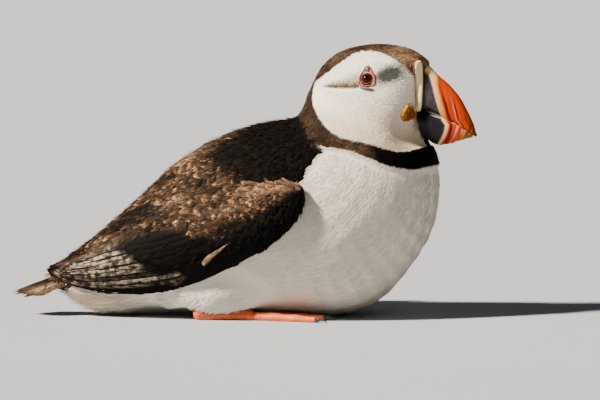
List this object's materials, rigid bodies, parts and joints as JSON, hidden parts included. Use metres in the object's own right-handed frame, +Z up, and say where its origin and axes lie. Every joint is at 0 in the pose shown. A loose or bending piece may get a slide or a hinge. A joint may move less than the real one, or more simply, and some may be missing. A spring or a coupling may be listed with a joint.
{
  "type": "atlantic puffin",
  "caption": "Life-size still model of an adult Atlantic puffin resting on its belly, wings folded, feet laid flat and head turned a little to its right.",
  "frame": {"origin": "on the floor under the middle of the bird's overall box", "axes": "+X towards the bill, +Z up, the bird's left side at +Y"},
  "size_m": [0.2368, 0.1048, 0.1388],
  "materials": {
    "breast_feathers": "soft, silky white body feathers",
    "face_feathers": "short, velvety white face feathers under a dark brown cap",
    "collar_feathers": "soft black-brown collar feathers",
    "wing_feathers": "worn black-brown flight and covert feathers with rusty edges",
    "tail_feathers": "worn black-brown tail feathers",
    "bill_horn": "smooth horn, orange-red with a slate base and a cream band",
    "bill_slate": "smooth horn, slate at the base and orange-red at the tip",
    "bill_rim": "dull cream skin",
    "rosette_skin": "wrinkled yellow-orange skin",
    "eye": "wet and glossy, dark brown",
    "eye_ring_skin": "bare red skin",
    "eye_plate_horn": "dull blue-grey horn",
    "leg_skin": "scaly orange skin",
    "claw_horn": "smooth black horn"
  },
  "bodies": {
    "root": {"bill_lower": "bill_slate", "bill_rim": "bill_rim", "bill_upper": "bill_horn", "claw_inner_left": "claw_horn", "claw_inner_right": "claw_horn", "claw_middle_left": "claw_horn", "claw_middle_right": "claw_horn", "claw_outer_left": "claw_horn", "claw_outer_right": "claw_horn", "eye_left": "eye", "eye_plate_over_left": "eye_plate_horn", "eye_plate_over_right": "eye_plate_horn", "eye_plate_under_left": "eye_plate_horn", "eye_plate_under_right": "eye_plate_horn", "eye_right": "eye", "eye_ring_left": "eye_ring_skin", "eye_ring_right": "eye_ring_skin", "foot_left": "leg_skin", "foot_right": "leg_skin", "head": "face_feathers", "neck": "collar_feathers", "rosette_left": "rosette_skin", "rosette_right": "rosette_skin", "tail": "tail_feathers", "tarsus_left": "leg_skin", "tarsus_right": "leg_skin", "thigh_left": "breast_feathers", "thigh_right": "breast_feathers", "trunk": "breast_feathers", "wing_left": "wing_feathers", "wing_right": "wing_feathers"}
  },
  "joints": []
}
